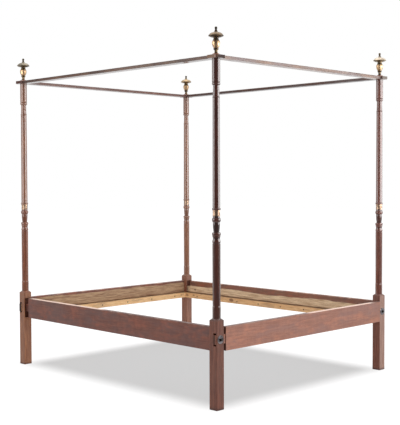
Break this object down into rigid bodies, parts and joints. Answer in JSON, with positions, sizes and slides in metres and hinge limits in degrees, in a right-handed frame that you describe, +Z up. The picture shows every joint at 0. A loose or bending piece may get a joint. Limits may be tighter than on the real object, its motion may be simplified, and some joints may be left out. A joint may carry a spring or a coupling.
{
  "type": "canopy bed",
  "caption": "Turned-post canopy bed frame in wood with a flat tester, urn finials, bolted rails and inner cleats for slats.",
  "frame": {"origin": "on the floor, under the centre of the bed", "axes": "+Z up; +X across the bed to the right, seen from its front end; +Y along the bed, from the front end to the back end"},
  "size_m": [1.808, 2.145, 2.3312],
  "materials": {
    "mahogany": "polished, worn at the edges",
    "pine": "planed, bare",
    "bright_brass": "polished, lightly tarnished",
    "patinated_brass": "dark patina, rubbed bright on top",
    "iron": "blackened",
    "screw_steel": "dull zinc"
  },
  "bodies": {
    "frame": {"lower_post_front_left": "mahogany", "lower_post_front_right": "mahogany", "lower_post_back_left": "mahogany", "lower_post_back_right": "mahogany", "upper_post_front_left": "mahogany", "upper_post_front_right": "mahogany", "upper_post_back_left": "mahogany", "upper_post_back_right": "mahogany", "finial_plinth_front_left": "mahogany", "finial_plinth_front_right": "mahogany", "finial_plinth_back_left": "mahogany", "finial_plinth_back_right": "mahogany", "brass_collar_front_left": "bright_brass", "brass_collar_front_right": "bright_brass", "brass_collar_back_left": "bright_brass", "brass_collar_back_right": "bright_brass", "tester_pin_front_left": "iron", "tester_pin_front_right": "iron", "tester_pin_back_left": "iron", "tester_pin_back_right": "iron", "bolt_washer_front_left": "iron", "bolt_washer_front_right": "iron", "bolt_washer_back_left": "iron", "bolt_washer_back_right": "iron", "rail_nuts": "iron", "end_rail_front": "mahogany", "end_rail_back": "mahogany", "side_rail_left": "mahogany", "side_rail_right": "mahogany", "tester_end_front": "mahogany", "tester_end_back": "mahogany", "tester_side_left": "mahogany", "tester_side_right": "mahogany", "end_cleat_front": "pine", "end_cleat_back": "pine", "side_cleat_left": "pine", "side_cleat_right": "pine", "cleat_screws_front": "screw_steel", "cleat_screws_back": "screw_steel", "cleat_screws_left": "screw_steel", "cleat_screws_right": "screw_steel"},
    "finial_front_left": {"finial_urn_front_left": "bright_brass", "finial_cap_front_left": "patinated_brass"},
    "bolt_front_left": {"bed_bolt_front_left": "iron"},
    "finial_front_right": {"finial_urn_front_right": "bright_brass", "finial_cap_front_right": "patinated_brass"},
    "bolt_front_right": {"bed_bolt_front_right": "iron"},
    "finial_back_left": {"finial_urn_back_left": "bright_brass", "finial_cap_back_left": "patinated_brass"},
    "bolt_back_left": {"bed_bolt_back_left": "iron"},
    "finial_back_right": {"finial_urn_back_right": "bright_brass", "finial_cap_back_right": "patinated_brass"},
    "bolt_back_right": {"bed_bolt_back_right": "iron"}
  },
  "joints": [
    {"name": "finial_lift_front_left", "type": "slide", "parent": "frame", "child": "finial_front_left", "axis": [0, 0, 1], "range_m": [0, 0.05]},
    {"name": "finial_lift_front_right", "type": "slide", "parent": "frame", "child": "finial_front_right", "axis": [0, 0, 1], "range_m": [0, 0.05]},
    {"name": "finial_lift_back_left", "type": "slide", "parent": "frame", "child": "finial_back_left", "axis": [0, 0, 1], "range_m": [0, 0.05]},
    {"name": "finial_lift_back_right", "type": "slide", "parent": "frame", "child": "finial_back_right", "axis": [0, 0, 1], "range_m": [0, 0.05]},
    {"name": "bolt_turn_front_left", "type": "hinge", "parent": "frame", "child": "bolt_front_left", "pos_m": [-0.857, -1.0255, 0.4335], "axis": [0, -1, 0], "continuous": true},
    {"name": "bolt_turn_front_right", "type": "hinge", "parent": "frame", "child": "bolt_front_right", "pos_m": [0.857, -1.0255, 0.4335], "axis": [0, -1, 0], "continuous": true},
    {"name": "bolt_turn_back_left", "type": "hinge", "parent": "frame", "child": "bolt_back_left", "pos_m": [-0.857, 1.0255, 0.4335], "axis": [0, 1, 0], "continuous": true},
    {"name": "bolt_turn_back_right", "type": "hinge", "parent": "frame", "child": "bolt_back_right", "pos_m": [0.857, 1.0255, 0.4335], "axis": [0, 1, 0], "continuous": true}
  ]
}
